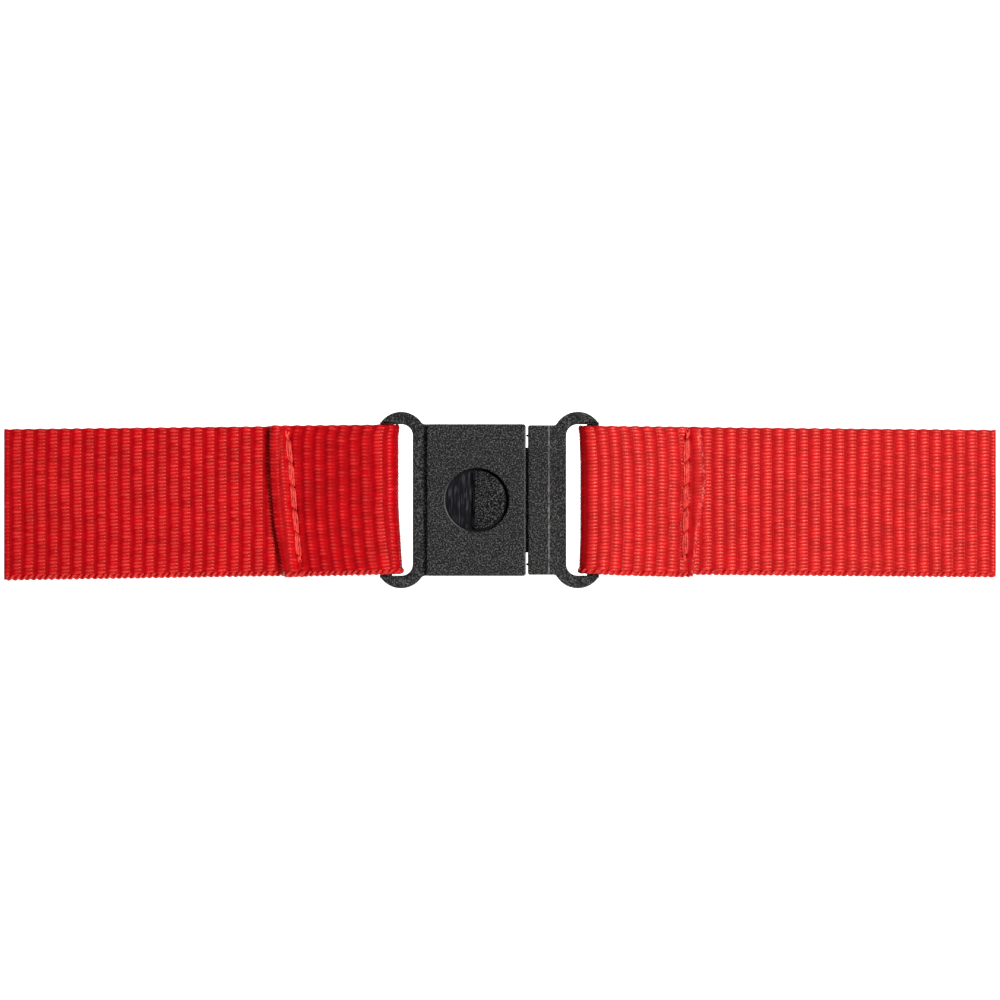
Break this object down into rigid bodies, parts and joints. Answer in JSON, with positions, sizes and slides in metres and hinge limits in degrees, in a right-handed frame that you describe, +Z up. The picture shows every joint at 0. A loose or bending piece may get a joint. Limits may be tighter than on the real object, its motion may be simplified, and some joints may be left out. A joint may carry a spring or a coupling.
{
  "type": "lanyard",
  "caption": "Buckle section of a woven neck lanyard: ribbon sewn round the loops of a flat snap-together safety breakaway buckle, lying flat.",
  "frame": {"origin": "centre of the bounding box on its lowest face: the part lies flat on the surface z = 0, ribbon ends included", "axes": "+X along the ribbon from the housing's side to the plug's side, +Y across the ribbon, +Z up, out of the face with the latch window"},
  "size_m": [0.1314, 0.0232, 0.0056],
  "materials": {
    "buckle_plastic": "spark-eroded fine grain, black",
    "plug_plastic": "spark-eroded fine grain, black",
    "latch_plastic": "smooth with faint machining lines, black",
    "ribbon_left": "ribbed polyester weave, red",
    "ribbon_right": "ribbed polyester weave, red",
    "thread": "twisted polyester sewing thread, red"
  },
  "bodies": {
    "housing": {"female_housing": "buckle_plastic"},
    "plug": {"male_plug": "plug_plastic"},
    "latch": {"latch_finger": "latch_plastic"},
    "left_strap": {"left_ribbon": "ribbon_left", "left_needle_thread": "thread", "left_bobbin_thread": "thread"},
    "right_strap": {"right_ribbon": "ribbon_right", "right_needle_thread": "thread", "right_bobbin_thread": "thread"}
  },
  "joints": [
    {"name": "buckle_release", "type": "slide", "parent": "housing", "child": "plug", "axis": [1, 0, 0], "range_m": [0, 0.016], "deforming": ["latch_finger"]},
    {"name": "latch_press", "type": "hinge", "parent": "plug", "child": "latch", "pos_m": [-0.0076, 0, 0.0037], "axis": [0, 1, 0], "range_deg": [0, 8.5], "stiffness_Nm_per_rad": 0.1},
    {"name": "left_strap_swing", "type": "hinge", "parent": "housing", "child": "left_strap", "pos_m": [-0.01505, 0, 0.0028], "axis": [0, 1, 0], "range_deg": [-100, 100]},
    {"name": "right_strap_swing", "type": "hinge", "parent": "plug", "child": "right_strap", "pos_m": [0.01227, 0, 0.0028], "axis": [0, -1, 0], "range_deg": [-100, 100]}
  ]
}
